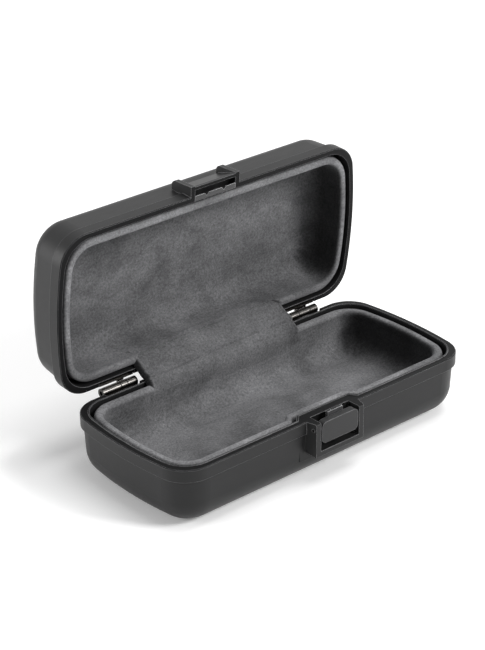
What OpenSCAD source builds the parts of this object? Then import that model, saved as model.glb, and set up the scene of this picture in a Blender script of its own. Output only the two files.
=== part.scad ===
// Hard case for a small folding binocular: two moulded shells, padded suede linings,
// two pin hinges at the back, and a push-button latch at the front.
// The origin is the middle of the flat underside. X runs along the case, -Y is the latch side.

/* [Case] */
// Length over the rims, along X
case_l = 180; // [150:1:240]
// Depth over the rims, along Y
case_d = 80.8; // [72:0.2:110]
// Height of the base, floor to rim
base_h = 31; // [30:0.5:45]
// Height of the lid, rim to top
lid_h = 26; // [25:0.5:40]
// Corner radius of the walls, seen from above
body_corner_r = 16.8; // [16.5:0.1:20]
// Corner radius of the rim bands, seen from above
rim_corner_r = 14.6; // [12:0.1:16.4]
// Radius of the rounded edge under the base
base_edge_r = 13.5; // [9:0.5:15]
// Radius of the rounded edge on top of the lid
lid_edge_r = 8.5; // [5:0.5:12]
// Lean of the base walls
base_draft = 3; // [1:0.25:3.5]
// Lean of the lid walls
lid_draft = 4.5; // [1:0.25:5]
// Wall of the base shell
base_wall = 3.2; // [2.8:0.1:4]
// Wall of the lid shell
lid_wall = 2.4; // [2.2:0.05:2.5]
// Top panel of the lid shell
lid_top = 1.6; // [1.4:0.1:2.5]
// Floor of the base shell, thick so that the open case stands
base_floor = 4.8; // [3:0.1:5.5]
// Angle of the lid from shut, as it stands
open_deg = 86.3; // [0:0.1:95]

/* [Rim] */
// How far the rim bands stand proud of the walls
rim_proud = 0.25; // [0.15:0.05:0.6]
// Height of each rim band
rim_band_h = 6.4; // [4:0.2:9]
// Chamfer on the rim band edges
rim_chamfer = 0.4; // [0.1:0.05:0.8]
// Gap between the shut rims
rim_gap = 0.2; // [0.1:0.05:0.6]
// Locating lip: distance inwards from the wall face
lip_in = 2.55; // [2.55:0.05:2.7]
// Thickness of the locating lip
lip_t = 0.6; // [0.4:0.05:1]
// Height of the locating lip above the rim
lip_h = 0.4; // [0.2:0.05:1]

/* [Lining] */
// Corner radius of the linings, seen from above
lining_corner_r = 19; // [18.5:0.1:22]
// Clearance between shell and foam
lining_gap = 0.15; // [0.05:0.05:0.4]
// Foam thickness in the base
base_foam_t = 4.2; // [2.5:0.1:4.4]
// Foam thickness in the lid
lid_foam_t = 3.9; // [2.5:0.1:4.6]
// Thickness of the suede
suede_t = 0.8; // [0.5:0.1:1.2]
// Radius where the lining wall meets its floor
lining_edge_r = 9; // [5:0.5:9]
// Radius of the rolled edge of the base lining
base_roll_r = 2.3; // [1.8:0.1:2.5]
// Radius of the rolled edge of the lid lining
lid_roll_r = 2; // [1.6:0.1:2.3]
// Gap between the wall and the rolled edge, base
base_roll_gap = 1.1; // [0.8:0.1:1.6]
// Gap between the wall and the rolled edge, lid
lid_roll_gap = 1.4; // [0.8:0.1:1.6]
// How far the rolled edges lie below the rims
roll_drop = 0.4; // [0.2:0.1:1]
// Inward step of the base lining behind the latch
lining_step = 3.6; // [3.2:0.1:4.5]

/* [Hinges] */
// Distance of each hinge from the middle
hinge_x = 56.7; // [54:0.1:58]
// Length of each hinge barrel
hinge_l = 19.8; // [16:0.2:20]
// Hinge axis behind the rims
axis_back = 2.85; // [2.7:0.05:4]
// Hinge axis below the base rim
axis_drop = 0.85; // [0.4:0.05:1.5]
// Diameter of the hinge barrels
barrel_d = 4.6; // [3.6:0.1:4.8]
// Diameter of the hinge pins
hinge_pin_d = 2; // [1.4:0.1:2.4]
// Radial clearance of the hinge pins
pin_clear = 0.1; // [0.05:0.01:0.2]
// How far the pins lie inside the barrel ends
pin_recess = 1.4; // [0.5:0.1:2]
// Gap between two knuckles
knuckle_gap = 0.3; // [0.15:0.05:0.5]
// Outer knuckle of the left hinge
left_outer_knuckle = 10.3; // [5:0.1:11]
// Inner knuckle of the left hinge
left_inner_knuckle = 5.4; // [3:0.1:6]
// Outer knuckle of the right hinge
right_outer_knuckle = 4.6; // [3:0.1:6]
// Inner knuckle of the right hinge
right_inner_knuckle = 7.6; // [5:0.1:8]
// Thickness of the hinge leaves
leaf_t = 0.8; // [0.6:0.05:0.9]
// Depth of the hinge leaves in the walls
leaf_h = 6.5; // [5:0.5:7]
// Diameter of the pins that lock the leaves
leaf_pin_d = 1.2; // [0.8:0.1:1.6]
// Thickness of the suede web between the hinges
web_t = 0.9; // [0.6:0.1:1.4]
// How far the web runs straight on from each lining before it bends
web_pull = 3.5; // [2:0.5:8]

/* [Latch] */
// Width of the latch frame, at its face
frame_w = 29; // [26:0.2:32]
// Width of the latch frame, at the wall
frame_root_w = 31.8; // [29:0.2:35]
// How far the latch frame and the catch stand out
frame_proud = 5; // [4.5:0.1:7]
// Height of the latch frame
frame_h = 17.4; // [15:0.2:20]
// Corner radius of the latch frame
frame_corner_r = 3; // [1.5:0.1:4]
// Bar under the button
frame_bar = 3; // [2:0.1:4]
// Width of the pocket in the latch frame
pocket_w = 23.4; // [22.6:0.1:25]
// Distance of the pocket's back from the rim face
pocket_in = 2.3; // [1.8:0.1:2.6]
// Distance of the latch well's inner face from the rim face
well_in = 6.9; // [6:0.1:7.2]
// Width of the latch well
well_w = 31.4; // [30:0.2:33]
// Depth of the latch well below the rim
well_h = 20; // [18:0.5:21]
// Width of the push button
button_w = 22; // [18:0.1:22.2]
// Height of the push button
button_h = 10.6; // [9:0.1:12]
// Corner radius of the push button
button_corner_r = 2.6; // [1:0.1:4]
// Thickness of the push button's plate
button_t = 1.4; // [1:0.1:2]
// Thickness of the push button round its pivot
button_hub_t = 3.4; // [3:0.1:3.6]
// Gap between the button's top and the rim
button_drop = 0.4; // [0.3:0.1:1]
// Pivot pin below the rim
pivot_drop = 3.4; // [3:0.1:4]
// Pivot pin behind the frame's face
pivot_back = 1.6; // [1.5:0.05:1.8]
// Diameter of the pivot pin
pivot_d = 1.6; // [1.2:0.1:1.8]
// Width of the hook
hook_w = 9; // [6:0.1:9.2]
// Thickness of the hook
hook_t = 1.4; // [1:0.1:1.6]
// Reach of the hook over the keeper
hook_reach = 0.7; // [0.5:0.05:0.9]
// Thickness of the hook's nose
nose_t = 0.85; // [0.6:0.05:1]
// Thickness of the latch spring
spring_t = 0.3; // [0.2:0.05:0.5]
// Width of the latch spring
spring_w = 6; // [4:0.2:8]

/* [Catch] */
// Thickness of the catch's two ears
ear_t = 2.4; // [1.8:0.1:3]
// Length of the ears along the lid
ear_h = 14; // [11:0.5:16]
// How far the bridge lies behind the ears
bridge_step = 0.5; // [0.2:0.1:1]
// Thickness of the bridge at the rim
bridge_t = 1.6; // [1.2:0.1:2]
// Height of the catch slot
slot_h = 3.1; // [2.8:0.1:3.4]
// Thickness of the keeper's strip
keeper_t = 0.6; // [0.5:0.05:0.7]
// Thickness of the keeper's back
keeper_back_t = 0.8; // [0.6:0.05:1]
// Distance of each notch in the keeper from the middle
notch_x = 5.1; // [4.9:0.1:7]
// Width of the keeper's notches
notch_w = 2.4; // [1.5:0.1:3]
// Depth of the keeper's notches
notch_d = 1.5; // [1:0.1:1.7]

/* [Hidden] */
$fn = 96;

shell_colour = [0.17, 0.17, 0.18];
suede_colour = [0.36, 0.36, 0.37];
foam_colour = [0.12, 0.12, 0.13];
metal_colour = [0.42, 0.41, 0.40];

// Overlap for cuts, a small fit clearance, and how far an arc bulges past the flat it runs into
cut = 1;
fit = 0.05;
chord = 0.002;

front_y = -case_d / 2;
wall_y = case_d / 2 - rim_proud;

// Hinge axis and the lid's rim plane when shut
axis_y = case_d / 2 + axis_back;
axis_z = base_h - axis_drop;
lid_z = base_h + rim_gap;
barrel_r = barrel_d / 2;

// Width of the ring that makes each rim, before the cavity is cut
rim_fill = 7;

// Linings: outer and inner faces, counted from the wall face
base_out = base_wall + lining_gap;
base_mid = base_out + base_foam_t;
base_in = base_mid + suede_t;
lid_out = lid_wall + lining_gap;
lid_mid = lid_out + lid_foam_t;
lid_in = lid_mid + suede_t;
base_roll_u = base_wall + base_roll_gap + base_roll_r;
lid_roll_u = lid_wall + lid_roll_gap + lid_roll_r;
foam_drop = 2.4;
// Half width of the stepped part of the base lining
step_x = well_w / 2 + 1.2;

// Suede web between the hinges
web_x = hinge_x - hinge_l / 2 - 3.3;
web_lap = 3.4;
web_steps = 14;
web_gap = 0.25;

// Hinge leaves: slot in the back walls
slot_y = case_d / 2 - 2.3;
slot_clear = 0.05;
notch_clear = 0.3;
leaf_pin_x = 6;
base_leaf_pin_z = axis_z - barrel_r - leaf_h / 2;
lid_leaf_pin_z = axis_z + barrel_r + leaf_h / 2;

// Latch
frame_y = front_y - frame_proud;
frame_z = base_h - frame_h;
pocket_y = front_y + pocket_in;
pocket_z = frame_z + frame_bar;
well_y = front_y + well_in;
well_slope = 3.4;
pivot_y = frame_y + pivot_back;
pivot_z = base_h - pivot_drop;
pivot_clear = 0.1;
pivot_half = frame_w / 2 + pivot_back * (frame_root_w - frame_w) / 2 / frame_proud;
button_top = base_h - button_drop;
button_bottom = button_top - button_h;
hub_y = frame_y + button_hub_t;
hub_z = pivot_z - pivot_d / 2 - 1.3;
keeper_clear = 0.15;
nose_z = lid_z + keeper_t + keeper_clear;

// Catch: inner edge of the ears, and the slot behind the bridge
ear_x = frame_w / 2 - ear_t;
bridge_y = frame_y + bridge_step - 0.2;
slot_front = bridge_y + bridge_t;
keeper_back_y = -wall_y + lid_wall - keeper_back_t;
ear_y = frame_y - 0.2;
ear_lean = 1;
ear_end_r = 3;

// Where the lid stands: turned about the hinge axis
module as_open() {
    translate([0, axis_y, axis_z]) rotate([-open_deg, 0, 0]) translate([0, -axis_y, -axis_z]) children();
}

// A lid piece is drawn like a base piece, upside down, on the shut rim plane
module lid_up() {
    as_open() translate([0, 0, lid_z + lid_h]) mirror([0, 0, 1]) children();
}

// Corner unit of an outline: the bow's arc and the corner's arc meet on the line 112 across, 15 up,
// where 15, 112 and 113 are the sides of a right triangle, so that the two arcs meet exactly
function unit(inset, r) = round((case_d / 2 - inset - r) / 15 * 1000) / 1000;

// Radius of a corner's arc
function corner_r(inset, r) = case_d / 2 - inset - 15 * unit(inset, r);

// Centre of the arc that bows the end, along X
function bow_x(inset, r) = case_l / 2 - inset - corner_r(inset, r) - 113 * unit(inset, r);

// Sweep a profile round the outline: its x is the distance inwards, its y is the height
module swept(inset, r) {
    k = unit(inset, r);
    rc = corner_r(inset, r);
    cx = bow_x(inset, r) + 112 * k;
    for (sx = [0, 1]) mirror([sx, 0, 0]) {
        translate([bow_x(inset, r), 0, 0]) intersection() {
            rotate([0, 0, -90]) rotate_extrude(angle = 180) translate([rc + 113 * k, 0])
                mirror([1, 0]) children();
            translate([0, 0, -50]) linear_extrude(200) polygon([[0, 0], [448, -60], [448, 60]]);
        }
        for (sy = [0, 1]) mirror([0, sy, 0]) translate([cx, 15 * k, 0]) intersection() {
            rotate_extrude(angle = 90) intersection() {
                translate([rc, 0]) mirror([1, 0]) children();
                translate([0, -50]) square([100, 200]);
            }
            translate([0, 0, -50]) linear_extrude(200)
                polygon([[-112, -15], [112, 15], [112, 120], [-112, 120]]);
        }
    }
    for (sy = [0, 1]) mirror([0, sy, 0]) translate([-cx, inset - case_d / 2, 0]) rotate([90, 0, 90])
        linear_extrude(2 * cx) children();
}

// Fill the middle of the outline, inside the swept ring
module core(inset, r, z0, z1) {
    k = unit(inset, r);
    translate([0, 0, z0]) linear_extrude(z1 - z0) intersection() {
        square([case_l, 30 * k], center = true);
        translate([bow_x(inset, r), 0]) circle(113 * k);
        translate([-bow_x(inset, r), 0]) circle(113 * k);
    }
}

// Half section of a tray, counted inwards: a leaning wall, a rounded edge and a floor at height low
module tray_section(off, low, edge_r, h, draft, r, rise) {
    zc = low + edge_r;
    uc = (h - zc) * tan(draft) + (off + edge_r) / cos(draft);
    inner = corner_r(rim_proud, r) + cut;
    far = edge_r + 5;
    difference() {
        polygon([[inner, low], [(h - low) * tan(draft) + off / cos(draft), low],
            [off / cos(draft) - rise * tan(draft), h + rise], [inner, h + rise]]);
        difference() {
            polygon([[uc, zc], [uc - far * cos(draft), zc - far * sin(draft)], [uc - far, zc - far],
                [uc, zc - far]]);
            translate([uc, zc]) circle(edge_r + chord);
        }
    }
}

// Solid tray shape, off inside the wall face, with its floor at height low
module tray(off, low, edge_r, h, draft, r, rise = 0) {
    swept(rim_proud, r) tray_section(off, low, edge_r, h, draft, r, rise);
    core(rim_proud, r, low, h + rise);
}

// Open shell with its rim band
module shell(h, edge_r, draft, wall, low) {
    difference() {
        union() {
            tray(0, 0, edge_r, h, draft, body_corner_r, -rim_band_h / 2);
            swept(0, rim_corner_r) polygon([[rim_chamfer, h], [0, h - rim_chamfer],
                [0, h - rim_band_h + rim_chamfer], [rim_chamfer, h - rim_band_h],
                [rim_fill, h - rim_band_h], [rim_fill, h]]);
        }
        tray(wall, low, edge_r - wall, h, draft, body_corner_r, cut);
    }
}

// Box between two corners
module box(a, b) {
    translate(a) cube(b - a);
}

// Plan of the latch well, grown by g
module well_plan(g) {
    x1 = well_w / 2 + g;
    x2 = x1 + well_slope;
    polygon([[-x2, front_y + cut], [x2, front_y + cut], [x2, well_y - well_slope + g],
        [x1, well_y + g], [-x1, well_y + g], [-x2, well_y - well_slope + g]]);
}

// Latch frame: a block with leaning sides and rounded corners
module frame_block() {
    back = front_y + cut;
    lean = (frame_root_w - frame_w) / 2 / frame_proud;
    root = frame_w / 2 + (back - frame_y) * lean;
    edge = 1;
    intersection() {
        linear_extrude(base_h) polygon([[-root, back], [root, back], [frame_w / 2, frame_y],
            [-frame_w / 2, frame_y]]);
        translate([0, back, 0]) rotate([90, 0, 0]) linear_extrude(frame_proud + 2 * cut) {
            hw = frame_root_w / 2;
            translate([-hw - cut, frame_z + frame_corner_r])
                square([2 * (hw + cut), frame_h - frame_corner_r]);
            translate([-hw + frame_corner_r, frame_z])
                square([2 * (hw - frame_corner_r), frame_corner_r + cut]);
            for (s = [-1, 1]) translate([s * (hw - frame_corner_r), frame_z + frame_corner_r])
                circle(frame_corner_r);
        }
        translate([-frame_root_w, 0, 0]) rotate([90, 0, 90]) linear_extrude(2 * frame_root_w) {
            translate([frame_y, frame_z + edge]) square([frame_proud + 2 * cut, frame_h - 2 * edge]);
            translate([frame_y + edge, frame_z]) square([frame_proud + cut, frame_h]);
            for (z = [frame_z + edge, base_h - edge]) translate([frame_y + edge, z]) circle(edge);
        }
    }
}

// Bores for the pins that lock the leaves, on the back wall of either shell
module leaf_pin_rods(z, from_y) {
    for (s = [-1, 1], p = [-1, 1]) translate([s * hinge_x + p * leaf_pin_x, from_y, z])
        rotate([-90, 0, 0]) cylinder(d = leaf_pin_d, h = slot_y + leaf_t + 0.3 - from_y);
}

// Room for a hinge leaf in a back wall: an open notch in the rim and a slot below it
module leaf_room(z_rim, z_notch, z_end) {
    w = hinge_l / 2 + notch_clear;
    for (s = [-1, 1]) translate([s * hinge_x, 0, 0]) {
        box([-w, slot_y, min(z_rim, z_notch)], [w, axis_y, max(z_rim, z_notch)]);
        box([-w, slot_y, min(z_rim, z_end)], [w, slot_y + leaf_t + 2 * slot_clear, max(z_rim, z_end)]);
    }
}

module base_shell() {
    notch_z = axis_z - barrel_r - notch_clear;
    lip_u = [lip_in, lip_in + lip_t];
    step_lip_y = well_y - lip_t - 0.1;
    color(shell_colour) difference() {
        union() {
            shell(base_h, base_edge_r, base_draft, base_wall, base_floor);
            difference() {
                swept(rim_proud, body_corner_r) translate([lip_u[0], base_h - cut])
                    square([lip_t, lip_h + cut]);
                translate([0, 0, base_h - 2 * cut]) linear_extrude(4 * cut)
                    polygon([[-well_w / 2 - well_slope, -case_d], [well_w / 2 + well_slope, -case_d],
                        [well_w / 2 + well_slope, 0], [-well_w / 2 - well_slope, 0]]);
            }
            translate([0, 0, base_h - well_h]) linear_extrude(well_h) well_plan(0);
            translate([0, 0, base_h - cut]) linear_extrude(lip_h + cut) difference() {
                well_plan(-0.1);
                well_plan(-0.1 - lip_t);
                translate([-case_l, -case_d]) square([2 * case_l, case_d - wall_y + lip_in]);
            }
            frame_block();
        }
        box([-pocket_w / 2, frame_y - cut, pocket_z], [pocket_w / 2, pocket_y, base_h + cut]);
        translate([-frame_root_w, pivot_y, pivot_z]) rotate([0, 90, 0])
            cylinder(d = pivot_d, h = 2 * frame_root_w);
        leaf_room(base_h + cut, notch_z, notch_z - leaf_h);
        leaf_pin_rods(base_leaf_pin_z, wall_y - base_wall - cut);
    }
}

// Cavity of the base lining, stepped inwards behind the latch
module base_hollow(off, edge_r) {
    hx = step_x + off - base_mid;
    low = off + base_floor - base_wall;
    difference() {
        tray(off, low, edge_r, base_h, base_draft, lining_corner_r, cut);
        difference() {
            box([-hx, -case_d, 0], [hx, -wall_y + lining_corner_r, base_h + 3 * cut]);
            translate([-hx - cut, -wall_y + lining_step, 0]) rotate([90, 0, 90]) linear_extrude(2 * (hx + cut))
                tray_section(off, low, edge_r, base_h, base_draft, lining_corner_r, 4 * cut);
        }
    }
}

module base_foam_pad() {
    top = base_h - 2 * base_roll_r - roll_drop - foam_drop / 10;
    color(foam_colour) difference() {
        tray(base_out, base_floor + lining_gap, base_edge_r - base_out, base_h, base_draft, lining_corner_r,
            cut);
        base_hollow(base_mid, lining_edge_r + suede_t);
        box([-case_l, -case_d, top], [case_l, case_d, base_h + 2 * cut]);
        translate([0, 0, base_h - well_h - lining_gap]) linear_extrude(well_h + cut) well_plan(lining_gap);
    }
}

// Rolled edge of a lining, as a ring
module roll_ring(u, z, r) {
    swept(rim_proud, lining_corner_r) translate([u, z]) circle(r);
}

// Space over the middle of the back wall, where the web takes the place of the rolled edge
module web_space(z, top) {
    box([-web_x, case_d / 4, z], [web_x, case_d, top]);
}

module base_suede_lining() {
    roll_z = base_h - roll_drop - base_roll_r;
    roll_y = -wall_y + base_roll_u;
    slant_x = step_x + lining_step;
    color(suede_colour) difference() {
        union() {
            difference() {
                base_hollow(base_mid, lining_edge_r + suede_t);
                box([-case_l, -case_d, roll_z], [case_l, case_d, base_h + 5 * cut]);
            }
            difference() {
                roll_ring(base_roll_u, roll_z, base_roll_r);
                box([-slant_x, -case_d, 0], [slant_x, 0, base_h + cut]);
            }
            translate([-slant_x - cut, roll_y + lining_step, roll_z]) rotate([0, 90, 0])
                cylinder(r = base_roll_r, h = 2 * (slant_x + cut));
        }
        base_hollow(base_in, lining_edge_r);
        web_space(base_h - web_lap, base_h + cut);
    }
}

module lid_shell() {
    notch_z = axis_z + barrel_r + notch_clear;
    color(shell_colour) as_open() difference() {
        union() {
            translate([0, 0, lid_z + lid_h]) mirror([0, 0, 1]) shell(lid_h, lid_edge_r, lid_draft, lid_wall, lid_top);
            catch_block();
        }
        box([-ear_x, slot_front, lid_z - cut], [ear_x, front_y + cut, lid_z + slot_h]);
        box([-ear_x, front_y, lid_z - cut], [ear_x, -wall_y + lid_wall + cut, lid_z + slot_h]);
        leaf_room(lid_z - cut, notch_z, notch_z + leaf_h);
        leaf_pin_rods(lid_leaf_pin_z, wall_y - lid_wall - cut);
    }
}

// Two ears and the sloping bridge between them, on the shut lid
module catch_block() {
    back = front_y + cut;
    for (s = [-1, 1]) translate([s * (ear_x + ear_t / 2) - ear_t / 2, 0, 0])
        rotate([90, 0, 90]) linear_extrude(ear_t) ear_side(back);
    translate([-ear_x, 0, 0]) rotate([90, 0, 90]) linear_extrude(2 * ear_x)
        polygon([[back, lid_z], [bridge_y, lid_z], [bridge_y, lid_z + 1],
            [front_y - 0.3, lid_z + ear_h - 1.6], [back, lid_z + ear_h - 1]]);
}

// Side view of an ear, with a round far end
module ear_side(back) {
    z1 = lid_z + ear_h - ear_end_r;
    y1 = ear_y + ear_lean;
    polygon([[back, lid_z], [ear_y, lid_z], [y1, z1], [back, z1]]);
    intersection() {
        translate([y1 + ear_end_r, z1]) circle(ear_end_r);
        translate([y1, z1]) square([ear_end_r, ear_end_r]);
    }
    translate([y1 + ear_end_r, z1]) square([back - y1 - ear_end_r, ear_end_r]);
}

// Cavity of the lid lining
module lid_hollow(off, edge_r, more) {
    tray(off, off + lid_top - lid_wall, edge_r, lid_h, lid_draft, lining_corner_r, cut + more);
}

module lid_foam_pad() {
    top = lid_h - 2 * lid_roll_r - roll_drop - foam_drop / 10;
    color(foam_colour) lid_up() difference() {
        tray(lid_out, lid_top + lining_gap, lid_edge_r - lid_out, lid_h, lid_draft, lining_corner_r, cut);
        lid_hollow(lid_mid, lining_edge_r + suede_t, cut);
        box([-case_l, -case_d, top], [case_l, case_d, lid_h + 2 * cut]);
    }
}

module lid_suede_lining() {
    roll_z = lid_h - roll_drop - lid_roll_r;
    color(suede_colour) lid_up() difference() {
        union() {
            difference() {
                lid_hollow(lid_mid, lining_edge_r + suede_t, 0);
                box([-case_l, -case_d, roll_z], [case_l, case_d, lid_h + 2 * cut]);
            }
            roll_ring(lid_roll_u, roll_z, lid_roll_r);
        }
        lid_hollow(lid_in, lining_edge_r, cut);
        web_space(lid_h - web_lap, lid_h + cut);
    }
}

// Spans along X of the knuckles: the outer and inner ones hold the base leaf, or the middle one the lid leaf
function spans(outer, inner, of_lid) = of_lid
    ? [[outer + knuckle_gap, hinge_l - inner - knuckle_gap]]
    : [[0, outer], [hinge_l - inner, hinge_l]];

// Hinge leaf, with x counted from the hinge's outer end towards the middle
module leaf(outer, inner, of_lid) {
    up = of_lid ? 1 : -1;
    near = axis_z + up * (barrel_r - leaf_t);
    far = axis_z + up * barrel_r;
    end_z = far + up * (leaf_h - 0.4);
    y0 = slot_y + slot_clear;
    clear_y = axis_y - barrel_r - 0.35;
    side = notch_clear / 2;
    pin_z = of_lid ? lid_leaf_pin_z : base_leaf_pin_z;
    difference() {
        union() {
            box([side, y0, min(near, end_z)], [hinge_l - side, y0 + leaf_t, max(near, end_z)]);
            box([side, y0, min(near, far)], [hinge_l - side, clear_y, max(near, far)]);
            for (k = spans(outer, inner, of_lid)) {
                box([k[0], clear_y - cut / 2, min(near, far)], [k[1], axis_y, max(near, far)]);
                translate([k[0], axis_y, axis_z]) rotate([0, 90, 0]) cylinder(r = barrel_r, h = k[1] - k[0]);
            }
        }
        translate([-cut, axis_y, axis_z]) rotate([0, 90, 0])
            cylinder(d = hinge_pin_d + 2 * pin_clear, h = hinge_l + 2 * cut);
        for (p = [-1, 1]) translate([hinge_l / 2 + p * leaf_pin_x, 0, pin_z]) rotate([-90, 0, 0])
            cylinder(d = leaf_pin_d, h = case_d);
    }
}

// The left hinge counts x from its outer end, and the right hinge is turned round
module at_left() {
    translate([-hinge_x - hinge_l / 2, 0, 0]) children();
}

module at_right() {
    mirror([1, 0, 0]) at_left() children();
}

module base_hinge_leaf_left() {
    color(metal_colour) at_left() leaf(left_outer_knuckle, left_inner_knuckle, false);
}

module base_hinge_leaf_right() {
    color(metal_colour) at_right() leaf(right_outer_knuckle, right_inner_knuckle, false);
}

module lid_hinge_leaf_left() {
    color(metal_colour) as_open() at_left() leaf(left_outer_knuckle, left_inner_knuckle, true);
}

module lid_hinge_leaf_right() {
    color(metal_colour) as_open() at_right() leaf(right_outer_knuckle, right_inner_knuckle, true);
}

module hinge_pin() {
    color(metal_colour) translate([pin_recess, axis_y, axis_z]) rotate([0, 90, 0])
        cylinder(d = hinge_pin_d, h = hinge_l - 2 * pin_recess);
}

module hinge_pin_left() {
    at_left() hinge_pin();
}

module hinge_pin_right() {
    at_right() hinge_pin();
}

module base_leaf_pins() {
    color(metal_colour) leaf_pin_rods(base_leaf_pin_z, wall_y - base_wall + cut / 2);
}

module lid_leaf_pins() {
    color(metal_colour) as_open() leaf_pin_rods(lid_leaf_pin_z, wall_y - lid_wall + cut / 4);
}

// Turn a point of the shut lid's YZ plane to where it stands
function opened(p) = let (y = p[0] - axis_y, z = p[1] - axis_z, a = -open_deg)
    [axis_y + y * cos(a) - z * sin(a), axis_z + y * sin(a) + z * cos(a)];

// Cubic curve through the web, from the base lining to the lid lining
function bezier(p, t) = pow(1 - t, 3) * p[0] + 3 * pow(1 - t, 2) * t * p[1]
    + 3 * (1 - t) * t * t * p[2] + pow(t, 3) * p[3];

module hinge_web() {
    base_p = [wall_y - (base_mid + base_in) / 2, base_h - web_lap + web_gap];
    lid_p = [wall_y - (lid_mid + lid_in) / 2, lid_z + web_lap - web_gap];
    p = [base_p, base_p + [0, web_pull], opened(lid_p - [0, web_pull]), opened(lid_p)];
    line = [for (i = [0:web_steps]) bezier(p, i / web_steps)];
    sides = [for (i = [0:web_steps]) let (d = line[min(i + 1, web_steps)] - line[max(i - 1, 0)])
        [-d[1], d[0]] / norm(d) * web_t / 2];
    color(suede_colour) translate([-web_x + web_gap, 0, 0]) rotate([90, 0, 90])
        linear_extrude(2 * (web_x - web_gap)) polygon(concat([for (i = [0:web_steps]) line[i] + sides[i]],
            [for (i = [web_steps:-1:0]) line[i] - sides[i]]));
}

module push_button() {
    hw = button_w / 2;
    r = button_corner_r;
    color(shell_colour) difference() {
        intersection() {
            translate([-hw, 0, 0]) rotate([90, 0, 90]) linear_extrude(button_w)
                polygon([[frame_y, button_bottom], [frame_y + button_t, button_bottom],
                    [frame_y + button_t, hub_z - 1], [hub_y, hub_z], [hub_y, button_top],
                    [frame_y, button_top]]);
            translate([0, hub_y + cut, 0]) rotate([90, 0, 0]) linear_extrude(button_hub_t + 2 * cut) {
                translate([-hw, button_bottom + r]) square([button_w, button_h - 2 * r]);
                translate([-hw + r, button_bottom]) square([button_w - 2 * r, button_h]);
                for (x = [-hw + r, hw - r], z = [button_bottom + r, button_top - r])
                    translate([x, z]) circle(r);
            }
        }
        translate([-button_w, pivot_y, pivot_z]) rotate([0, 90, 0])
            cylinder(d = pivot_d + 2 * pivot_clear, h = 2 * button_w);
    }
}

module latch_hook() {
    y0 = hub_y;
    y1 = hub_y + hook_t;
    tip = front_y + hook_reach;
    top = nose_z + nose_t;
    color(shell_colour) translate([-hook_w / 2, 0, 0]) rotate([90, 0, 90]) linear_extrude(hook_w)
        polygon([[y0, hub_z], [y1, hub_z], [y1, nose_z], [tip, nose_z], [tip, nose_z + nose_t / 3],
            [y1 - hook_t / 3, top], [y0, top]]);
}

module latch_pivot_pin() {
    color(metal_colour) translate([-pivot_half, pivot_y, pivot_z]) rotate([0, 90, 0])
        cylinder(d = pivot_d, h = 2 * pivot_half);
}

// Bent leaf spring: one arm on the pocket's back, the other behind the button's lower edge
module latch_spring() {
    back = pocket_y - fit;
    low = pocket_z + 0.8;
    high = pivot_z - 2;
    tip_y = frame_y + button_t + fit;
    tip_z = (button_bottom + hub_z) / 2;
    color(metal_colour) translate([-spring_w / 2, 0, 0]) rotate([90, 0, 90]) linear_extrude(spring_w)
        polygon([[back, high], [back, low], [back - spring_t, low], [tip_y, tip_z],
            [tip_y, tip_z + 2 * spring_t], [back - spring_t, low + 2 * spring_t], [back - spring_t, high]]);
}

module catch_keeper() {
    back = -wall_y + lid_wall - fit;
    hx = ear_x - fit;
    color(shell_colour) as_open() {
        difference() {
            box([-hx, front_y, lid_z], [hx, back, lid_z + keeper_t]);
            for (s = [-1, 1]) translate([s * notch_x, front_y, lid_z - cut]) linear_extrude(keeper_t + 2 * cut)
                polygon([[-notch_w / 2, 0], [0, notch_d], [notch_w / 2, 0], [0, -cut]]);
        }
        box([-hx, keeper_back_y, lid_z + keeper_t / 2], [hx, back, lid_z + slot_h - fit]);
    }
}

base_shell();
base_foam_pad();
base_suede_lining();
lid_shell();
lid_foam_pad();
lid_suede_lining();
base_hinge_leaf_left();
base_hinge_leaf_right();
lid_hinge_leaf_left();
lid_hinge_leaf_right();
hinge_pin_left();
hinge_pin_right();
base_leaf_pins();
lid_leaf_pins();
hinge_web();
push_button();
latch_hook();
latch_pivot_pin();
latch_spring();
catch_keeper();
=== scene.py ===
import math

import bmesh
import bpy
import numpy as np
from mathutils import Matrix, Vector


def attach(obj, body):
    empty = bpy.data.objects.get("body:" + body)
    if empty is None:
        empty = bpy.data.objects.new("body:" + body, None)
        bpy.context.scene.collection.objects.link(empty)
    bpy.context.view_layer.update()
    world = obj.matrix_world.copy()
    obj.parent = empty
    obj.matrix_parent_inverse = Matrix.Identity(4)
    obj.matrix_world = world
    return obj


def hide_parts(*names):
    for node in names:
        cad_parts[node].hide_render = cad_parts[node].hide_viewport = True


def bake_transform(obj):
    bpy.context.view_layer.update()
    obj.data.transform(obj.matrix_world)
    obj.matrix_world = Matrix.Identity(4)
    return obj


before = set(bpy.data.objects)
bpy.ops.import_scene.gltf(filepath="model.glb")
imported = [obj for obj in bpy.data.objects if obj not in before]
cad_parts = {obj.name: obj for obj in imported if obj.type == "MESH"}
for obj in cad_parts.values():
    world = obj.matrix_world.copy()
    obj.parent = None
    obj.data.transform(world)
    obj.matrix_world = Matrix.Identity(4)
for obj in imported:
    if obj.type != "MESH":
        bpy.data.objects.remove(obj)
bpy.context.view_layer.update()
MM = 0.001

# Sizes shared with the part's source, in millimetres
CASE_D = 80.8
BASE_H, LID_H, RIM_GAP, PROUD = 31.0, 26.0, 0.2, 0.25
BASE_DRAFT, LID_DRAFT = math.radians(3.0), math.radians(4.5)
AXIS_Y, AXIS_Z = CASE_D / 2 + 2.85, BASE_H - 0.85
OPEN = math.radians(-86.3)
LID_Z = BASE_H + RIM_GAP
WALL_Y = CASE_D / 2 - PROUD
CORNER_R, BOW_R = 19.0, 178.33
BOW_X, CORNER_X, CORNER_Y = -88.58, 69.34, 21.15
SPINE_X = CORNER_X * 0.98
NOISE_CELLS = 16


def smooth(t):
    t = np.clip(t, 0, 1)
    return t * t * (3 - 2 * t)


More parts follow.
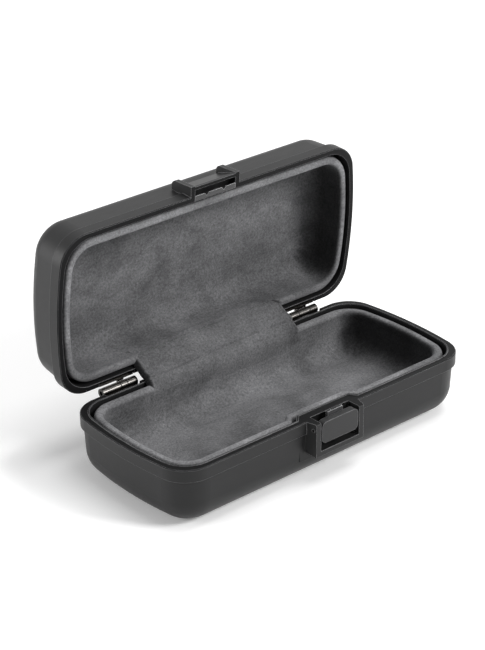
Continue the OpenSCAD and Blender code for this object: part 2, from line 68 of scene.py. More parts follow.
def opened(p):
    """Turns points of the shut lid to where the lid stands."""
    q = np.array(p, float)
    y, z = q[..., 1] - AXIS_Y, q[..., 2] - AXIS_Z
    c, s = math.cos(OPEN), math.sin(OPEN)
    q[..., 1], q[..., 2] = AXIS_Y + y * c - z * s, AXIS_Z + y * s + z * c
    return q


def flipped(p):
    """Turns a lining drawn like a base lining into the shut lid's."""
    q = np.array(p, float)
    q[..., 2] = LID_Z + LID_H - q[..., 2]
    return q


def noise(p, size, seed):
    """Smooth value noise from -1 to 1 on points p, with cells of the given size in mm."""
    rng = np.random.default_rng(seed)
    grid = rng.uniform(-1, 1, (NOISE_CELLS,) * 3)
    q = np.array(p, float) / size + 100.37
    i = np.floor(q).astype(int)
    f = q - i
    j = (i % NOISE_CELLS, (i + 1) % NOISE_CELLS)
    f = f * f * f * (f * (f * 6 - 15) + 10)
    out = np.zeros(q.shape[:-1])
    for dx in (0, 1):
        for dy in (0, 1):
            for dz in (0, 1):
                w = (
                    np.where(dx, f[..., 0], 1 - f[..., 0])
                    * np.where(dy, f[..., 1], 1 - f[..., 1])
                    * np.where(dz, f[..., 2], 1 - f[..., 2])
                )
                out += w * grid[j[dx][..., 0], j[dy][..., 1], j[dz][..., 2]]
    return out


def outline(step=1.2):
    """Points of the wall's outline and their inward normals, once round from the back's middle."""
    pts, nrm = [], []

    def line(a, b, n):
        count = max(2, int(round(np.linalg.norm(np.subtract(b, a)) / step)))
        for t in np.linspace(0, 1, count, endpoint=False):
            pts.append(np.add(np.multiply(a, 1 - t), np.multiply(b, t)))
            nrm.append(n)

    def arc(c, r, a0, a1):
        count = max(3, int(round(abs(a1 - a0) * r / min(step, 0.9))))
        for t in np.linspace(a0, a1, count, endpoint=False):
            d = np.array([math.cos(t), math.sin(t)])
            pts.append(np.array(c) + r * d)
            nrm.append(-d)

    a = math.atan2(15, 112)
    q = math.pi / 2
    line((0, WALL_Y), (-CORNER_X, WALL_Y), (0, -1))
    arc((-CORNER_X, CORNER_Y), CORNER_R, q, math.pi - a)
    arc((-BOW_X, 0), BOW_R, math.pi - a, math.pi + a)
    arc((-CORNER_X, -CORNER_Y), CORNER_R, math.pi + a, 3 * q)
    line((-CORNER_X, -WALL_Y), (CORNER_X, -WALL_Y), (0, 1))
    arc((CORNER_X, -CORNER_Y), CORNER_R, -q, -a)
    arc((BOW_X, 0), BOW_R, -a, a)
    arc((CORNER_X, CORNER_Y), CORNER_R, a, q)
    line((CORNER_X, WALL_Y), (0, WALL_Y), (0, -1))
    return np.array(pts), np.array(nrm)


def mesh_object(name, verts, faces, body=None):
    me = bpy.data.meshes.new(name)
    me.from_pydata((np.asarray(verts) * MM).tolist(), [], faces)
    me.validate()
    me.polygons.foreach_set("use_smooth", [True] * len(me.polygons))
    me.update()
    ob = bpy.data.objects.new(name, me)
    bpy.context.scene.collection.objects.link(ob)
    if body:
        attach(ob, body)
    return ob


def ring_faces(rows, cols, closed=True):
    """Quads between rows of vertices; closed joins the last row to the first."""
    faces = []
    for i in range(rows if closed else rows - 1):
        j = (i + 1) % rows
        for k in range(cols):
            m = (k + 1) % cols
            faces.append((i * cols + k, i * cols + m, j * cols + m, j * cols + k))
    return faces


def section(off, low, edge_r, h, draft, top, count=10):
    """(inset, height) of a leaning wall and its rounded edge, from the rim down to the floor."""
    zc = low + edge_r
    uc = (h - zc) * math.tan(draft) + (off + edge_r) / math.cos(draft)
    foot = zc - edge_r * math.sin(draft)
    wall = [
        ((h - z) * math.tan(draft) + off / math.cos(draft), z)
        for z in np.linspace(top, foot, 12)
    ]
    arc = [
        (uc - edge_r * math.cos(t), zc - edge_r * math.sin(t))
        for t in np.linspace(draft, math.pi / 2, count)[1:]
    ]
    return wall + arc


# The step of the base lining behind the latch: its depth and its half width
STEP, STEP_X = 3.6, 16.9


def step_shift(x, y, u):
    """How far the base lining stands inwards behind the latch."""
    side = smooth((STEP_X + 3.7 - np.abs(x)) / 3.9)
    return np.where(y < 0, STEP * side * (1 - smooth((u - 17.0) / 9.0)), 0.0)


# How far along from the wall's foot to the spine the rings of a floor and an underside lie
FLOOR_T = (1.0, 0.93, 0.84, 0.74, 0.63, 0.52, 0.41, 0.31, 0.22, 0.14, 0.07)
UNDER_T = (0.15, 0.4, 0.7, 1.0)
SPINE_DEPTH = 22


def ring(pts, nrm, u, z, depth, t=0.0):
    """The outline moved in by u and then by the share t to its spine, at height z."""
    spine = np.stack([np.clip(pts[:, 0], -SPINE_X, SPINE_X), 0 * pts[:, 1]], 1)
    at = (pts + nrm * u) * (1 - t) + spine * t
    return np.column_stack([at, np.full(len(pts), z), np.full(len(pts), depth)])


def lining(name, body, profile, is_lid, web_drop, amp):
    """A padded tray lining as one closed form. Its profile runs from the floor's edge up the inside,
    over the rolled edge and down the outside to the underside's edge."""
    pts, nrm = outline()
    n = len(pts)
    floor_u, floor_z = profile[0]
    under_u, under_z = profile[-1]
    rows = [ring(pts, nrm, floor_u, floor_z, floor_u + SPINE_DEPTH * t, t) for t in FLOOR_T]
    rows += [ring(pts, nrm, u, z, u) for u, z in profile]
    rows += [ring(pts, nrm, under_u, under_z, under_u + SPINE_DEPTH * t, t) for t in UNDER_T]
    v = np.array(rows)
    x, y, z, u = v[..., 0], v[..., 1], v[..., 2], v[..., 3]
    if not is_lid:
        v[..., 1] = y + step_shift(x, y, u)
    # The rolled edge dips where the web runs over it, between the hinges
    back = smooth((v[..., 1] - 24) / 4) * smooth((WEB_X + 1.5 - np.abs(x)) / 4.0)
    h = LID_H if is_lid else BASE_H
    top = h - 0.4
    cap = top - web_drop * back
    flat = cap - 1.2 + 1.2 * np.tanh((z - cap + 1.2) / 1.2)
    v[..., 2] = np.where(z > cap - 1.2, np.minimum(z, flat), z)
    inner = np.zeros(len(rows))
    inner[: len(FLOOR_T) + len(profile) // 2] = 1
    p = v[..., :3]
    soft = (
        0.55 * noise(p, 34, 3 + is_lid)
        + 0.30 * noise(p, 15, 5 + is_lid)
        + 0.10 * noise(p, 6, 9 + is_lid)
    ) * amp
    deep = smooth((u - 9) / 6)
    # Shallow pleats where the fabric is drawn round the corners of the floor
    ang = np.arctan2(np.abs(y) - CORNER_Y + 6, np.abs(x) - CORNER_X + 6)
    corner = smooth((np.abs(x) - CORNER_X + 14) / 10) * smooth((np.abs(y) - CORNER_Y + 12) / 10)
    pleat = corner * np.sin(ang * 17 + 2.0 * noise(p, 12, 21)) * 0.22
    pleat = pleat * smooth((u - 8.2) / 4) * (1 - smooth((u - 19) / 4))
    # Nothing moves on the back wall, where the web lies flat on the lining
    calm = 1 - smooth((y - 22) / 6) * smooth((54 - np.abs(x)) / 6) * smooth((z - floor_z - 2) / 5)
    lift = (soft * (0.35 + 0.65 * deep) + pleat) * inner[:, None] * calm
    # Inside points move along their rough normal: up on the floor, inwards on the wall
    f = smooth((floor_z + 9.5 - z) / 9.5) * deep
    v[..., 2] += lift * f
    direction = nrm[None, :, :]
    v[..., 0] += lift * (1 - f) * direction[..., 0] * 0.8
    v[..., 1] += lift * (1 - f) * direction[..., 1] * 0.8
    q = v[..., :3].reshape(-1, 3)
    if is_lid:
        q = opened(flipped(q))
    faces = ring_faces(len(rows), n, closed=False)
    if not is_lid:
        faces = [f[::-1] for f in faces]
    ob = mesh_object(name, q, faces)
    weld(ob)
    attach(ob, body)
    return ob


def weld(ob, dist=2e-5):
    bm = bmesh.new()
    bm.from_mesh(ob.data)
    bmesh.ops.remove_doubles(bm, verts=bm.verts, dist=dist)
    bmesh.ops.recalc_face_normals(bm, faces=bm.faces)
    bm.to_mesh(ob.data)
    bm.free()
    ob.data.polygons.foreach_set("use_smooth", [True] * len(ob.data.polygons))
    ob.data.update()


def roll(u, z, r, a0, a1, count=16):
    """Points of a rolled edge, in degrees from the inward side, going over the top."""
    return [
        (u + r * math.cos(math.radians(t)), z + r * math.sin(math.radians(t)))
        for t in np.linspace(a0, a1, count)
    ]


# ---- linings: the suede faces and their rolled edges, and the foam behind them
# Insets from the wall's outline (off, low, edge radius) of the inner and outer faces, and the roll
BASE_SUEDE = dict(
    off_in=8.35, off_out=7.55, low_in=9.95, low_out=9.15, edge_in=9.0, edge_out=9.8,
    h=BASE_H, draft=BASE_DRAFT, roll_u=6.6, roll_z=28.3, roll_r=2.3,
)
LID_SUEDE = dict(
    off_in=7.25, off_out=6.45, low_in=6.45, low_out=5.65, edge_in=9.0, edge_out=9.8,
    h=LID_H, draft=LID_DRAFT, roll_u=5.8, roll_z=23.6, roll_r=2.0,
)
BASE_FOAM = dict(
    off_out=3.45, low_out=5.0, edge_out=11.5, off_in=7.45, low_in=9.05, edge_in=9.9,
    h=BASE_H, draft=BASE_DRAFT, top=25.6,
)
LID_FOAM = dict(
    off_out=2.65, low_out=1.85, edge_out=5.9, off_in=6.35, low_in=5.55, edge_in=9.9,
    h=LID_H, draft=LID_DRAFT, top=21.2,
)
# Half width of the dip in the rolled edges under the web
WEB_X = 43.6


def tray_profile(off_in, off_out, low_in, low_out, edge_in, edge_out, h, draft, roll_u, roll_z, roll_r):
    inside = section(off_in, low_in, edge_in, h, draft, roll_z - 1.6)[::-1]
    over = roll(roll_u, roll_z, roll_r, -12, 196)
    outside = section(off_out, low_out, edge_out, h, draft, roll_z - roll_r * 0.9)
    return inside + over + outside


base_lining = lining("base_lining", "base", tray_profile(**BASE_SUEDE), False, 3.6, 0.55)
lid_lining = lining("lid_lining", "lid", tray_profile(**LID_SUEDE), True, 3.2, 0.6)


def padding(name, body, is_lid, off_out, low_out, edge_out, off_in, low_in, edge_in, h, draft, top):
    """Foam between the shell and the suede, with a rounded top edge."""
    pts, nrm = outline(2.5)
    n = len(pts)
    inside = section(off_in, low_in, edge_in, h, draft, top - 0.6, 6)[::-1]
    outside = section(off_out, low_out, edge_out, h, draft, top - 0.6, 6)
    crest = [(inside[-1][0] * 0.5 + outside[0][0] * 0.5, top)]
    profile = inside + crest + outside
    rows = [ring(pts, nrm, *profile[0], 40.0, t) for t in (1.0, 0.5)]
    rows += [ring(pts, nrm, u, z, u) for u, z in profile]
    rows += [ring(pts, nrm, *profile[-1], 40.0, t) for t in (0.5, 1.0)]
    v = np.array(rows)
    if not is_lid:
        v[..., 1] += step_shift(v[..., 0], v[..., 1], v[..., 3])
    q = v[..., :3].reshape(-1, 3)
    if is_lid:
        q = opened(flipped(q))
    ob = mesh_object(name, q, ring_faces(len(rows), n, closed=False))
    weld(ob)
    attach(ob, body)
    return ob


base_padding = padding("base_padding", "base", False, **BASE_FOAM)
lid_padding = padding("lid_padding", "lid", True, **LID_FOAM)


# ---- the suede web between the hinges
WEB_ROWS, WEB_COLS = 96, 190
# Half width between the hinges, and what each end adds where it lies on a lining
WEB_HALF, WEB_FLARE = 46.0, 3.2
WEB_T = 0.8


def curve(p, t):
    """Points of a chain of cubic curves through the points p."""
    p = np.asarray(p, float)
    ext = np.vstack([2 * p[0] - p[1], p, 2 * p[-1] - p[-2]])
    n = len(p) - 1
    k = np.minimum((np.asarray(t) * n).astype(int), n - 1)
    f = (np.asarray(t) * n - k)[:, None]
    a, b, c, d = ext[k], ext[k + 1], ext[k + 2], ext[k + 3]
    square, cube = (2 * a - 5 * b + 4 * c - d) * f**2, (3 * b - a - 3 * c + d) * f**3
    return 0.5 * (2 * b + (c - a) * f + square + cube)


def web():
    """The fabric that runs on from both linings, with thick rolled ends round the hinge notches."""
    rows, cols = WEB_ROWS, WEB_COLS
    wall_b = lambda z: WALL_Y - ((BASE_H - z) * math.tan(BASE_DRAFT) + BASE_SUEDE["off_in"]) + 0.05
    wall_l = lambda h: WALL_Y - ((LID_H - h) * math.tan(LID_DRAFT) + LID_SUEDE["off_in"]) + 0.05
    lid_at = lambda y, z: opened(np.array([0.0, y, z]))
    knots = [
        (0, wall_b(19.5) + 0.30, 19.5),
        (0, wall_b(21.5) + 0.10, 21.5),
        (0, wall_b(24.0) - 0.12, 24.0),
        (0, wall_b(27.0) - 0.18, 27.0),
        (0, 32.4, 30.2),
        (0, 34.7, 33.0),
        (0, 37.9, 35.3),
        (0, 41.3, 37.3),
        lid_at(wall_l(21.0) - 0.20, LID_Z + 5.0),
        lid_at(wall_l(18.5) - 0.12, LID_Z + 7.5),
        lid_at(wall_l(16.0) + 0.08, LID_Z + 10.0),
        lid_at(wall_l(14.0) + 0.26, LID_Z + 12.0),
    ]
    s = np.linspace(0, 1, rows)
    line = curve(knots, s)
    tangent = np.gradient(line, axis=0)
    tangent /= np.linalg.norm(tangent, axis=1)[:, None]
    normal = np.stack([0 * tangent[:, 0], -tangent[:, 2], tangent[:, 1]], 1)
    # Half width: narrow between the hinges, widening in a curve into both linings
    half = WEB_HALF + WEB_FLARE * (smooth((0.40 - s) / 0.17) + smooth((s - 0.70) / 0.16)) ** 1.3
    e = np.linspace(-1, 1, cols)
    e = np.sign(e) * (1 - (1 - np.abs(e)) ** 1.25)
    grid = np.zeros((rows, cols, 3))
    grid[:] = line[:, None, :]
    grid[..., 0] = e[None, :] * half[:, None]
    x = grid[..., 0]
    sx, ss = x / 44.0, s[:, None]
    crease = 0.475 + 0.012 * np.sin(sx * 2.1 + 0.4)
    lift = -0.85 * np.exp(-(((ss - crease) / 0.012) ** 2))
    lift = lift + 0.48 * np.exp(-(((ss - crease - 0.030) / 0.020) ** 2))
    upper = 0.715 + 0.012 * np.sin(sx * 3.0)
    lift -= 0.30 * np.exp(-(((ss - upper) / 0.015) ** 2)) * smooth((0.85 - sx) / 0.5)
    near = smooth((np.abs(sx) - 0.80) / 0.2)
    ripple = 0.30 * np.sin(ss * 34 + sx * 2)
    lift += near * (ripple * smooth((ss - 0.3) / 0.1) * smooth((0.78 - ss) / 0.1))
    lift += 0.34 * noise(grid, 20, 31) + 0.16 * noise(grid, 8, 33)
    hide = smooth(ss / 0.10) * smooth((1 - ss) / 0.10)
    lift = lift * hide
    # The ends of the width roll back round their own edge
    around = smooth((np.abs(e) - 0.945) / 0.055)
    back = 2.3 * (1 - np.sqrt(np.clip(1 - around**2, 0, 1)))[None, :]
    middle = smooth((ss - 0.27) / 0.08) * smooth((0.84 - ss) / 0.08)
    swell = 0.30 * np.exp(-(((np.abs(e) - 0.965) / 0.018) ** 2))[None, :] * middle
    sink = (0.6 * (1 - middle)) * smooth((np.abs(e) - 0.93) / 0.07)[None, :]
    front = grid + normal[:, None, :] * (lift + swell - back * middle - sink)[..., None]
    rear = grid + normal[:, None, :] * (lift * 0.7 - back * middle - sink - WEB_T)[..., None]
    rear[..., 0] *= 0.994
    verts = np.concatenate([front.reshape(-1, 3), rear.reshape(-1, 3)])
    k = rows * cols
    faces = []
    for i in range(rows - 1):
        for j in range(cols - 1):
            a, b, c, d = i * cols + j, i * cols + j + 1, (i + 1) * cols + j + 1, (i + 1) * cols + j
            faces += [(a, b, c, d), (k + d, k + c, k + b, k + a)]
        for j in (0, cols - 1):
            a, d = i * cols + j, (i + 1) * cols + j
            faces.append((a, d, k + d, k + a) if j == 0 else (k + a, k + d, d, a))
    for j in range(cols - 1):
        for i in (0, rows - 1):
            a, b = i * cols + j, i * cols + j + 1
            faces.append((k + a, k + b, b, a) if i == 0 else (a, b, k + b, k + a))
    ob = mesh_object("hinge_web_suede", verts, faces)
    weld(ob)
    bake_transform(ob)
    return ob


web_ob = web()

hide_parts("base_suede_lining")
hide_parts("lid_suede_lining")
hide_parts("base_foam_pad")
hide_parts("lid_foam_pad")
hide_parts("hinge_web")


# ---- materials
TINT = (1.0, 1.0, 1.03)


def new_material(name):
    m = bpy.data.materials.new(name)
    m.use_nodes = True
    nt = m.node_tree
    bsdf = nt.nodes["Principled BSDF"]
    return m, nt, bsdf


def ramp(nt, fac, stops):
    r = nt.nodes.new("ShaderNodeValToRGB")
    els = r.color_ramp.elements
    while len(els) < len(stops):
        els.new(0.5)
    for e, (pos, col) in zip(els, stops):
        e.position = pos
        e.color = (*col, 1) if len(col) == 3 else col
    nt.links.new(fac, r.inputs["Fac"])
    return r.outputs["Color"]


def grey(v, tint=(1.0, 1.0, 1.0)):
    return tuple(v * t for t in tint)


def mix(nt, mode, fac, a, b):
    m = nt.nodes.new("ShaderNodeMix")
    m.data_type = "RGBA"
    m.blend_type = mode
    for sock, val in ((m.inputs[0], fac), (m.inputs[6], a), (m.inputs[7], b)):
        if isinstance(val, (int, float)):
            sock.default_value = val
        elif isinstance(val, tuple):
            sock.default_value = (*val, 1)
        else:
            nt.links.new(val, sock)
    return m.outputs[2]


def maths(nt, op, a, b=None, c=None, clamp=False):
    m = nt.nodes.new("ShaderNodeMath")
    m.operation = op
    m.use_clamp = clamp
    for sock, val in zip(m.inputs, (a, b, c)):
        if val is None:
            continue
        if isinstance(val, (int, float)):
            sock.default_value = val
        else:
            nt.links.new(val, sock)
    return m.outputs[0]


def noise_tex(nt, coord, scale, detail=3.0, rough=0.5, distortion=0.0, stretch=None, turn=None):
    if stretch or turn:
        mp = nt.nodes.new("ShaderNodeMapping")
        nt.links.new(coord, mp.inputs["Vector"])
        if stretch:
            mp.inputs["Scale"].default_value = stretch
        if turn:
            mp.inputs["Rotation"].default_value = turn
        coord = mp.outputs["Vector"]
    t = nt.nodes.new("ShaderNodeTexNoise")
    t.inputs["Scale"].default_value = scale
    t.inputs["Detail"].default_value = detail
    t.inputs["Roughness"].default_value = rough
    t.inputs["Distortion"].default_value = distortion
    nt.links.new(coord, t.inputs["Vector"])
    return t.outputs["Fac"]


def bump(nt, height, strength, distance, normal=None):
    b = nt.nodes.new("ShaderNodeBump")
    b.inputs["Strength"].default_value = strength
    b.inputs["Distance"].default_value = distance
    nt.links.new(height, b.inputs["Height"])
    if normal is not None:
        nt.links.new(normal, b.inputs["Normal"])
    return b.outputs["Normal"]


def object_coord(nt):
    return nt.nodes.new("ShaderNodeTexCoord").outputs["Object"]


def suede_material(name, low, high, tint, highlight_plane=None):
    m, nt, b = new_material(name)
    co = object_coord(nt)
    clouds = noise_tex(nt, co, 34, 2.5, 0.55, 0.4)
    brushed = noise_tex(nt, co, 60, 3.0, 0.6, 1.2, stretch=(0.55, 1.0, 1.3), turn=(0.3, 0.2, 0.5))
    nap = noise_tex(nt, co, 900, 3.0, 0.75)
    grain = noise_tex(nt, co, 2400, 2.0, 0.8)
    shade = maths(nt, "ADD", maths(nt, "MULTIPLY", clouds, 0.62), maths(nt, "MULTIPLY", brushed, 0.38))
    col = ramp(nt, shade, [(0.36, grey(low, tint)), (0.64, grey(high, tint))])
    speck = ramp(nt, nap, [(0.30, grey(0.62)), (0.70, grey(1.38))])
    fine = ramp(nt, grain, [(0.30, grey(0.80)), (0.70, grey(1.22))])
    col = mix(nt, "MULTIPLY", 1.0, mix(nt, "MULTIPLY", 1.0, col, speck), fine)
    # Painted shade: walls that face left are painted darker, standing in for the shade they lie in
    turn = nt.nodes.new("ShaderNodeSeparateXYZ")
    nt.links.new(nt.nodes.new("ShaderNodeTexCoord").outputs["Normal"], turn.inputs[0])
    facing = maths(nt, "MULTIPLY_ADD", turn.outputs["X"], 0.5, 0.5)
    painted_left_wall_shade = ramp(nt, facing, [(0.02, grey(0.22)), (0.20, grey(0.55)), (0.46, grey(1.0))])
    col = mix(nt, "MULTIPLY", 1.0, col, painted_left_wall_shade)
    if highlight_plane:
        # Painted highlight: the rolled edge along the rim is painted lighter, close to the rim plane
        dot = nt.nodes.new("ShaderNodeVectorMath")
        dot.operation = "DOT_PRODUCT"
        nt.links.new(co, dot.inputs[0])
        dot.inputs[1].default_value = highlight_plane[0]
        depth = maths(nt, "SUBTRACT", highlight_plane[1], dot.outputs["Value"])
        depth_dm = maths(nt, "MULTIPLY", depth, 100.0)
        painted_rim_highlight = ramp(nt, depth_dm, [(0.05, grey(1.42)), (0.30, grey(1.0))])
        col = mix(nt, "MULTIPLY", 1.0, col, painted_rim_highlight)
    nt.links.new(col, b.inputs["Base Color"])
    b.inputs["Roughness"].default_value = 0.95
    b.inputs["Specular IOR Level"].default_value = 0.12
    b.inputs["Sheen Weight"].default_value = 0.22
    b.inputs["Sheen Roughness"].default_value = 0.45
    b.inputs["Sheen Tint"].default_value = (0.55, 0.56, 0.58, 1)
    n1 = bump(nt, maths(nt, "ADD", clouds, brushed), 0.35, 0.0006)
    n2 = bump(nt, maths(nt, "ADD", nap, grain), 0.7, 0.00022, n1)
    nt.links.new(n2, b.inputs["Normal"])
    return m


def foam_material():
    m, nt, b = new_material("closed_cell_foam")
    co = object_coord(nt)
    v = nt.nodes.new("ShaderNodeTexVoronoi")
    v.inputs["Scale"].default_value = 1400
    nt.links.new(co, v.inputs["Vector"])
    cells = v.outputs["Distance"]
    tone = noise_tex(nt, co, 120, 3.0, 0.6)
    nt.links.new(ramp(nt, tone, [(0.3, grey(0.012)), (0.7, grey(0.022))]), b.inputs["Base Color"])
    b.inputs["Roughness"].default_value = 0.9
    nt.links.new(bump(nt, cells, 0.5, 0.0002), b.inputs["Normal"])
    return m


def edge_mask(nt, radius, low, high):
    """White along convex and concave edges, from how far a rounded normal leans from the real one."""
    bevel = nt.nodes.new("ShaderNodeBevel")
    bevel.samples = 6
    bevel.inputs["Radius"].default_value = radius
    geo = nt.nodes.new("ShaderNodeNewGeometry")
    dot = nt.nodes.new("ShaderNodeVectorMath")
    dot.operation = "DOT_PRODUCT"
    nt.links.new(bevel.outputs["Normal"], dot.inputs[0])
    nt.links.new(geo.outputs["Normal"], dot.inputs[1])
    leaning = maths(nt, "SUBTRACT", 1.0, dot.outputs["Value"])
    mask = ramp(nt, leaning, [(low, grey(0.0)), (high, grey(1.0))])
    return mask, bevel.outputs["Normal"]


def rim_mask(nt, faces, depth=0.0007):
    """1 on the flat rim faces: near one of the planes and facing its way."""
    co = nt.nodes.new("ShaderNodeTexCoord")
    total = None
    for plane_n, plane_d in faces:
        dots = []
        for out in ("Object", "Normal"):
            dot = nt.nodes.new("ShaderNodeVectorMath")
            dot.operation = "DOT_PRODUCT"
            nt.links.new(co.outputs[out], dot.inputs[0])
            dot.inputs[1].default_value = plane_n
            dots.append(dot.outputs["Value"])
        away = maths(nt, "ABSOLUTE", maths(nt, "SUBTRACT", plane_d, dots[0]))
        near = maths(nt, "LESS_THAN", away, depth)
        mask = maths(nt, "MULTIPLY", near, maths(nt, "GREATER_THAN", dots[1], 0.6))
        total = mask if total is None else maths(nt, "ADD", total, mask, clamp=True)
    return total


def plastic_material(name, base, rough, grain_strength, edge=0.26, spec=0.27, rims=()):
    m, nt, b = new_material(name)
    co = object_coord(nt)
    tone = noise_tex(nt, co, 24, 3.0, 0.55)
    scuff = noise_tex(nt, co, 260, 4.0, 0.7, 0.6, stretch=(0.3, 1.0, 1.0), turn=(0.4, 0.9, 0.2))
    pores = noise_tex(nt, co, 3000, 2.0, 0.6)
    col = ramp(nt, tone, [(0.3, grey(base * 0.85, TINT)), (0.7, grey(base * 1.15, TINT))])
    mask, soft_n = edge_mask(nt, 0.00042, 0.02, 0.14)
    point = nt.nodes.new("ShaderNodeNewGeometry").outputs["Pointiness"]
    convex = ramp(nt, point, [(0.494, grey(0.0)), (0.506, grey(1.0))])
    mask = mix(nt, "MULTIPLY", 1.0, mask, convex)
    # Painted highlight: convex edges are painted light grey, broken up by the scuff noise
    patchy = ramp(nt, scuff, [(0.30, grey(0.45)), (0.62, grey(1.0))])
    edge_highlight = mix(nt, "MULTIPLY", 1.0, mask, patchy)
    col = mix(nt, "MIX", edge_highlight, col, grey(edge, TINT))
    nt.links.new(col, b.inputs["Base Color"])
    r = maths(nt, "MULTIPLY_ADD", maths(nt, "SUBTRACT", scuff, 0.5), 0.12, rough)
    r = maths(nt, "MULTIPLY_ADD", maths(nt, "SUBTRACT", tone, 0.5), 0.10, r)
    nt.links.new(r, b.inputs["Roughness"])
    if rims:
        dark = rim_mask(nt, rims)
        nt.links.new(maths(nt, "MULTIPLY_ADD", dark, -0.20, spec), b.inputs["Specular IOR Level"])
    else:
        b.inputs["Specular IOR Level"].default_value = spec
    n = bump(nt, pores, grain_strength, 0.00006, soft_n)
    n = bump(nt, scuff, 0.03, 0.00004, n)
    nt.links.new(n, b.inputs["Normal"])
    return m


def metal_material(name, base, rough, tint):
    m, nt, b = new_material(name)
    co = object_coord(nt)
    brush = noise_tex(nt, co, 900, 3.0, 0.6, 0.0, stretch=(0.12, 1.0, 1.0))
    stain = noise_tex(nt, co, 420, 4.0, 0.65, 0.8)
    col = ramp(nt, stain, [(0.35, grey(base * 0.6, tint)), (0.65, grey(base * 1.1, tint))])
    mask, soft_n = edge_mask(nt, 0.00018, 0.03, 0.25)
    # The steel is made lighter along its edges
    lighter_edges = mix(nt, "MULTIPLY", 1.0, mask, grey(0.6))
    col = mix(nt, "MIX", lighter_edges, col, grey(min(1.0, base * 2.6)))
    nt.links.new(col, b.inputs["Base Color"])
    b.inputs["Metallic"].default_value = 1.0
    nt.links.new(maths(nt, "MULTIPLY_ADD", brush, 0.2, rough - 0.1), b.inputs["Roughness"])
    nt.links.new(bump(nt, brush, 0.15, 0.00005, soft_n), b.inputs["Normal"])
    return m


foam = foam_material()
lid_n = (0.0, math.sin(OPEN), -math.cos(OPEN))
lid_d = float(np.dot(lid_n, opened(np.array([0.0, 0.0, LID_Z])) * MM))
suede_web = suede_material("suede_web", 0.070, 0.150, TINT)
suede_base = suede_material("suede_base", 0.074, 0.166, TINT, ((0, 0, 1), BASE_H * MM))
suede_lid = suede_material("suede_lid", 0.074, 0.164, TINT, (lid_n, lid_d))
base_plastic = plastic_material(
    "moulded_plastic_base", 0.010, 0.42, 0.22, rims=(((0, 0, 1), BASE_H * MM),)
)
lid_plastic = plastic_material("moulded_plastic_lid", 0.010, 0.42, 0.22, rims=((lid_n, lid_d),))
button_plastic = plastic_material("button_plastic", 0.020, 0.38, 0.10)
latch_plastic = plastic_material("latch_plastic", 0.030, 0.24, 0.05, edge=0.45, spec=0.5)
steel = metal_material("dark_steel", 0.075, 0.26, (1.0, 0.95, 0.90))
pin_steel = metal_material("pin_steel", 0.13, 0.24, (1.0, 0.98, 0.95))

PAINT = (
    (base_plastic, ("base_shell",)),
    (lid_plastic, ("lid_shell",)),
    (button_plastic, ("push_button",)),
    (latch_plastic, ("latch_hook", "catch_keeper")),
    (steel, ("base_hinge_leaf_left", "base_hinge_leaf_right")),
    (steel, ("lid_hinge_leaf_left", "lid_hinge_leaf_right")),
    (pin_steel, ("hinge_pin_left", "hinge_pin_right", "base_leaf_pins", "lid_leaf_pins")),
    (pin_steel, ("latch_pivot_pin", "latch_spring")),
)
painted = [(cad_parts[name], mat) for mat, names in PAINT for name in names]
painted += [(base_lining, suede_base), (lid_lining, suede_lid), (web_ob, suede_web)]
painted += [(base_padding, foam), (lid_padding, foam)]
for ob, mat in painted:
    ob.data.materials.clear()
    ob.data.materials.append(mat)


# ---- stage, light and camera
def floor_plane(size, mat):
    me = bpy.data.meshes.new("floor")
    s = size / 2
    me.from_pydata([(-s, -s, 0), (s, -s, 0), (s, s, 0), (-s, s, 0)], [], [(0, 1, 2, 3)])
    ob = bpy.data.objects.new("floor", me)
    bpy.context.scene.collection.objects.link(ob)
    me.materials.append(mat)
    return ob


floor_mat, nt, b = new_material("floor_white")
b.inputs["Base Color"].default_value = (0.97, 0.97, 0.97, 1)
b.inputs["Roughness"].default_value = 0.9
b.inputs["Specular IOR Level"].default_value = 0.1
b.inputs["Emission Color"].default_value = (1, 1, 1, 1)
b.inputs["Emission Strength"].default_value = 0.14
floor_plane(12.0, floor_mat)

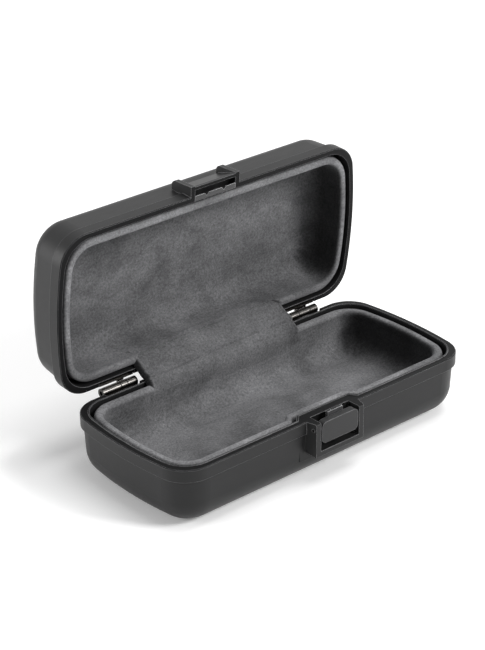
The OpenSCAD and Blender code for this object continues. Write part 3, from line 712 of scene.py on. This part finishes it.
# The surroundings look white to the camera and in reflections, and light the part only softly
ROOM_LIGHT = 0.26
world = bpy.data.worlds.new("studio")
bpy.context.scene.world = world
world.use_nodes = True
wn = world.node_tree
bg = wn.nodes["Background"]
bg.inputs["Color"].default_value = (1, 1, 1, 1)
bg.inputs["Strength"].default_value = ROOM_LIGHT
seen = wn.nodes.new("ShaderNodeBackground")
seen.inputs["Color"].default_value = (1, 1, 1, 1)
seen.inputs["Strength"].default_value = 1.0
path = wn.nodes.new("ShaderNodeLightPath")
direct = maths(wn, "ADD", path.outputs["Is Camera Ray"], path.outputs["Is Glossy Ray"], clamp=True)
direct = maths(wn, "ADD", direct, path.outputs["Is Transmission Ray"], clamp=True)
blend = wn.nodes.new("ShaderNodeMixShader")
wn.links.new(direct, blend.inputs[0])
wn.links.new(bg.outputs[0], blend.inputs[1])
wn.links.new(seen.outputs[0], blend.inputs[2])
wn.links.new(blend.outputs[0], wn.nodes["World Output"].inputs["Surface"])


def area(name, loc, target, size, watts, gloss=1.0):
    li = bpy.data.lights.new(name, "AREA")
    li.shape = "SQUARE"
    li.size = size
    li.energy = watts
    li.specular_factor = gloss
    ob = bpy.data.objects.new(name, li)
    bpy.context.scene.collection.objects.link(ob)
    ob.location = loc
    d = Vector(target) - Vector(loc)
    ob.rotation_euler = d.to_track_quat("-Z", "Y").to_euler()
    return ob


area("key", (0.85, -1.25, 1.05), (0, 0, 0.03), 0.55, 26)
area("top", (0.35, 0.0, 1.7), (0, 0, 0.03), 1.2, 17, gloss=0.25)
area("left_back", (-1.4, 0.9, 0.40), (0, 0, 0.04), 0.9, 18)

# The camera was fitted to the rims in the photo: place, direction, focal length and roll
EYE = (-0.5549, -0.6231, 0.4756)
AIM = (0.58395514, 0.67785982, -0.44665699)
FOCAL_PX, PHOTO_H_PX, SENSOR_MM = 2047.0, 650.0, 36.0
ROLL = -0.0108
cam_data = bpy.data.cameras.new("camera")
cam = bpy.data.objects.new("camera", cam_data)
bpy.context.scene.collection.objects.link(cam)
cam_data.sensor_fit = "VERTICAL"
cam_data.sensor_height = SENSOR_MM
cam_data.lens = FOCAL_PX / PHOTO_H_PX * SENSOR_MM
cam_data.clip_start, cam_data.clip_end = 0.05, 50
forward = Vector(AIM).normalized()
right = forward.cross(Vector((0, 0, 1))).normalized()
up = right.cross(forward)
right2 = right * math.cos(ROLL) + up * math.sin(ROLL)
up2 = -right * math.sin(ROLL) + up * math.cos(ROLL)
cam.matrix_world = Matrix(
    (
        (right2.x, up2.x, -forward.x, EYE[0]),
        (right2.y, up2.y, -forward.y, EYE[1]),
        (right2.z, up2.z, -forward.z, EYE[2]),
        (0, 0, 0, 1),
    )
)
bpy.context.scene.camera = cam
bpy.context.scene.view_settings.view_transform = "Standard"

bpy.context.view_layer.update()
